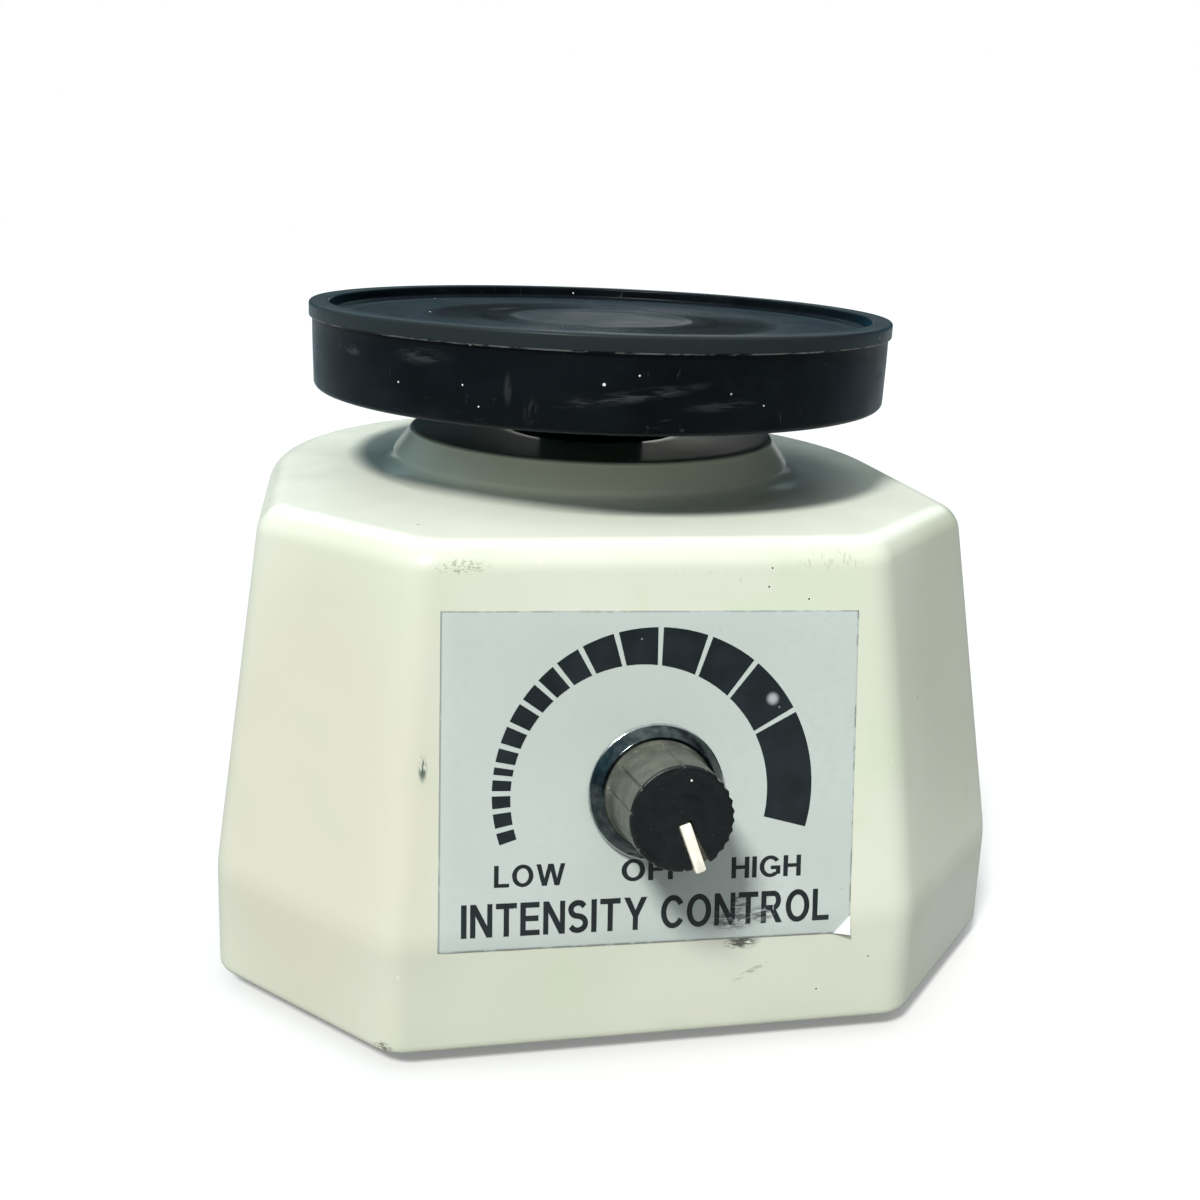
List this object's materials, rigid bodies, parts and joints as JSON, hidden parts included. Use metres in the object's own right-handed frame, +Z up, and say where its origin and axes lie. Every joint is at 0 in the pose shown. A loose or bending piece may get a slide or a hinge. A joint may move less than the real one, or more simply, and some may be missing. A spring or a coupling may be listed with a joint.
{
  "type": "laboratory vibrator",
  "caption": "Small bench vibrator: cast housing with cut front corners and a round back, sprung round rubber table on a collar, turning speed knob on a dial.",
  "frame": {"origin": "middle of the whole footprint box, on the surface that the feet stand on; the dish axis is 4.5 mm behind it", "axes": "+Z up along the dish axis, -Y towards the front face with the knob, +X to the viewer's right when facing the front"},
  "size_m": [0.1386, 0.165, 0.1112],
  "materials": {
    "enamel": "gloss enamel on a rough casting",
    "label_film": "satin printed film",
    "soft_rubber": "matte moulded rubber",
    "dish_rubber": "satin moulded rubber, scuffed",
    "zinc_steel": "zinc plated",
    "machined_steel": "turned",
    "core_iron": "varnished laminations",
    "spring_steel": "blued",
    "table_aluminium": "turned",
    "bobbin_plastic": "moulded nylon",
    "copper_wire": "enamelled copper",
    "brass_parts": "plain",
    "black_plastic": "moulded, matte",
    "pointer_plastic": "moulded, satin",
    "skirt_chrome": "bright plated",
    "board_laminate": "coated laminate",
    "capacitor_film": "dipped",
    "fuse_glass": "clear",
    "terminal_plastic": "moulded",
    "lead_sleeve_white": "woven sleeve",
    "lead_sleeve_red": "insulated wire"
  },
  "bodies": {
    "casing": {"housing": "enamel", "front_label": "label_film", "dust_boot": "soft_rubber", "base_plate": "zinc_steel", "rubber_feet": "soft_rubber", "foot_screws": "zinc_steel", "core_laminations": "core_iron", "coil_bobbin": "bobbin_plastic", "coil_winding": "copper_wire", "core_brackets": "zinc_steel", "core_bolts": "zinc_steel", "core_nuts": "zinc_steel", "bracket_screws": "zinc_steel", "spring_pillars": "machined_steel", "pillar_screws": "zinc_steel", "leaf_spring_lower": "spring_steel", "leaf_spring_upper": "spring_steel", "spring_spacers": "machined_steel", "spring_clamp_bars": "zinc_steel", "clamp_screws": "zinc_steel", "pot_case": "zinc_steel", "pot_bush": "brass_parts", "pot_washer": "zinc_steel", "pot_nut": "zinc_steel", "pot_terminals": "brass_parts", "switch_case": "black_plastic", "circuit_board": "board_laminate", "board_spacers": "table_aluminium", "board_screws": "zinc_steel", "triac": "black_plastic", "heat_sink": "table_aluminium", "filter_capacitor": "capacitor_film", "choke_ring": "copper_wire", "fuse_clips": "brass_parts", "glass_fuse": "fuse_glass", "terminal_block": "terminal_plastic", "coil_leads": "lead_sleeve_white", "pot_leads": "lead_sleeve_red", "cable_grommet": "soft_rubber", "earth_tag": "brass_parts", "earth_screw": "zinc_steel"},
    "table": {"armature": "core_iron", "armature_plate": "zinc_steel", "armature_screws": "zinc_steel", "centre_stud": "zinc_steel", "centre_spacers": "machined_steel", "stud_nuts": "zinc_steel", "platform_hub": "table_aluminium", "platform_plate": "table_aluminium", "hub_screws": "zinc_steel", "rubber_dish": "dish_rubber"},
    "knob": {"knob_body": "black_plastic", "knob_skirt": "skirt_chrome", "knob_pointer": "pointer_plastic", "pot_shaft": "machined_steel", "pot_rotor": "black_plastic"}
  },
  "joints": [
    {"name": "table_shake", "type": "slide", "parent": "casing", "child": "table", "axis": [0, 0, 1], "range_m": [-0.0005, 0.0005], "stiffness_N_per_m": 20000, "springref_m": 0.0001, "deforming": ["leaf_spring_lower", "leaf_spring_upper"]},
    {"name": "knob_turn", "type": "hinge", "parent": "casing", "child": "knob", "pos_m": [-0.0007, -0.0638, 0.0437], "axis": [0, 0.9778, -0.2096], "range_deg": [0, 300]}
  ]
}
